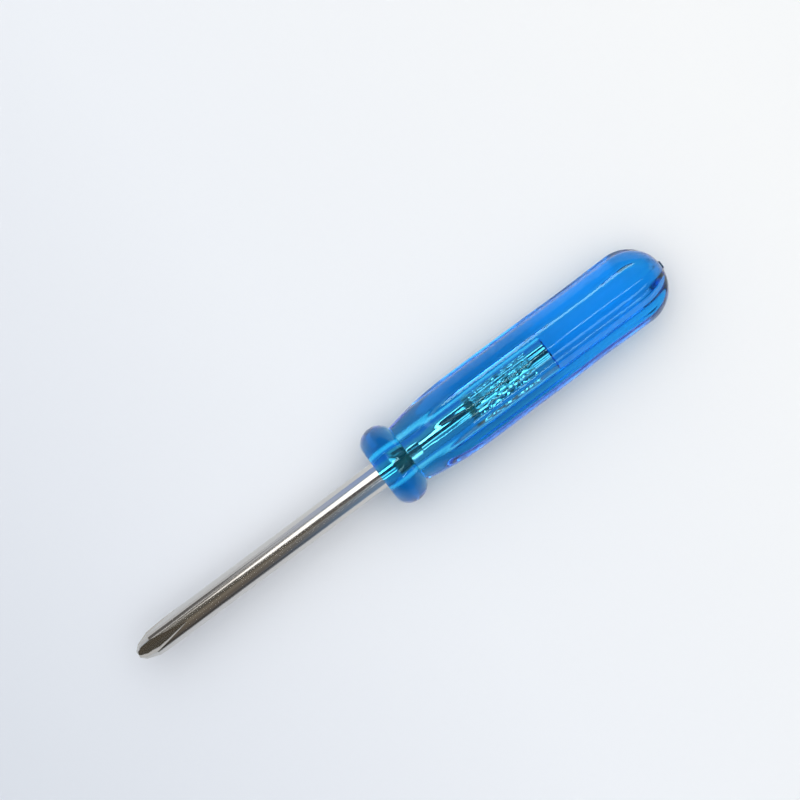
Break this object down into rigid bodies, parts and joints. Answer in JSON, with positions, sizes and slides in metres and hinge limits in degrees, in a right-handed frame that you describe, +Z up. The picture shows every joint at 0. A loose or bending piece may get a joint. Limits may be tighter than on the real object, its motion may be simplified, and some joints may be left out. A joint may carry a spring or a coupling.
{
  "type": "cross-point screwdriver",
  "caption": "Small screwdriver: a clear blue fluted plastic handle with a bead collar and a domed end, moulded on a plated round blade with a cross point.",
  "frame": {"origin": "on the blade's axis, in the plane of the collar's front face, where the blade leaves the handle", "axes": "the tool lies along X: -X along the blade to its tip, +X along the handle to its domed end; +Z up with the tool lying down"},
  "size_m": [0.0901, 0.012, 0.012],
  "materials": {
    "plated_steel": "bright nickel plate with fine drawn lines",
    "clear_blue_plastic": "clear blue plastic, moulded, glossy"
  },
  "bodies": {
    "root": {"blade": "plated_steel", "handle": "clear_blue_plastic"}
  },
  "joints": []
}
